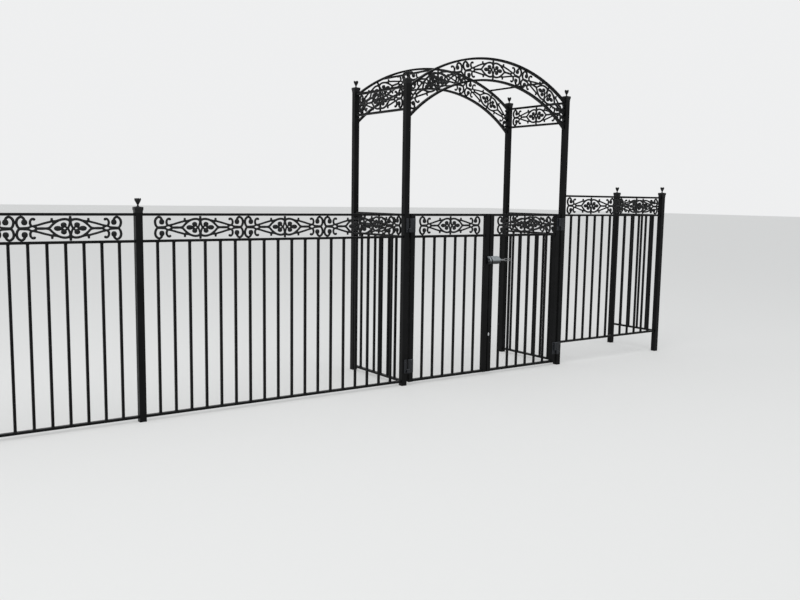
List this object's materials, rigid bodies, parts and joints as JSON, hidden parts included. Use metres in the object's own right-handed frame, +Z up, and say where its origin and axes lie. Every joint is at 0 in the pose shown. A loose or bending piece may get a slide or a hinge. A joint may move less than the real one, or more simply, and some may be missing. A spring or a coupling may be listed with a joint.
{
  "type": "wrought iron railing",
  "caption": "Ornamental black iron railing with scroll panels, raised return bay and paired gate leaves under a four-post arched arbor.",
  "frame": {"origin": "centre of the foot of the arbor's front left post, on the ground", "axes": "+X along the fence to the right, +Y back from the fence line into the arbor, +Z up"},
  "size_m": [6.6039, 0.7555, 2.3693],
  "materials": {
    "painted_bar": "satin black paint",
    "cast_scroll": "satin black paint on castings",
    "cast_cap": "satin black paint on castings",
    "hardware": "worn black paint",
    "bolt_steel": "weathered steel"
  },
  "bodies": {
    "railing": {"arbor_post_back_left": "painted_bar", "arbor_post_back_right": "painted_bar", "arbor_post_caps": "cast_cap", "arbor_post_front_left": "painted_bar", "arbor_post_front_right": "painted_bar", "arbor_side_panel_left": "painted_bar", "arbor_side_panel_right": "painted_bar", "arbor_side_scroll_left": "cast_scroll", "arbor_side_scroll_right": "cast_scroll", "arch_rails_back": "painted_bar", "arch_rails_front": "painted_bar", "arch_scrolls_back": "cast_scroll", "arch_scrolls_front": "cast_scroll", "arch_tie_bars": "painted_bar", "corner_post_cap": "cast_cap", "corner_post_right": "painted_bar", "header_rails_left": "painted_bar", "header_rails_right": "painted_bar", "header_scroll_left": "cast_scroll", "header_scroll_right": "cast_scroll", "hinges_on_post_left": "hardware", "hinges_on_post_right": "hardware", "left_panel_inner_1": "painted_bar", "left_panel_outer": "painted_bar", "left_scrolls_inner_1": "cast_scroll", "left_scrolls_outer": "cast_scroll", "line_post_caps": "cast_cap", "line_post_left_1": "painted_bar", "line_post_left_end": "painted_bar", "rear_post_cap": "cast_cap", "rear_post_right": "painted_bar", "return_panel": "painted_bar", "return_scroll": "cast_scroll", "right_panel": "painted_bar", "right_scrolls": "cast_scroll"},
    "left_leaf": {"bolt_keeper": "hardware", "gate_leaf_left": "painted_bar", "gate_scroll_left": "cast_scroll", "hinges_on_leaf_left": "hardware"},
    "right_leaf": {"bolt_case": "hardware", "gate_leaf_right": "painted_bar", "gate_scroll_right": "cast_scroll", "hinges_on_leaf_right": "hardware"},
    "bolt": {"slide_bolt": "bolt_steel"}
  },
  "joints": [
    {"name": "left_leaf_hinge", "type": "hinge", "parent": "railing", "child": "left_leaf", "pos_m": [0.0308, -0.02965, 0.6], "axis": [0, 0, -1], "range_deg": [0, 100]},
    {"name": "right_leaf_hinge", "type": "hinge", "parent": "railing", "child": "right_leaf", "pos_m": [1.5142, -0.02965, 0.6], "axis": [0, 0, 1], "range_deg": [0, 100]},
    {"name": "bolt_slide", "type": "slide", "parent": "right_leaf", "child": "bolt", "axis": [-1, 0, 0], "range_m": [0, 0.03]}
  ]
}
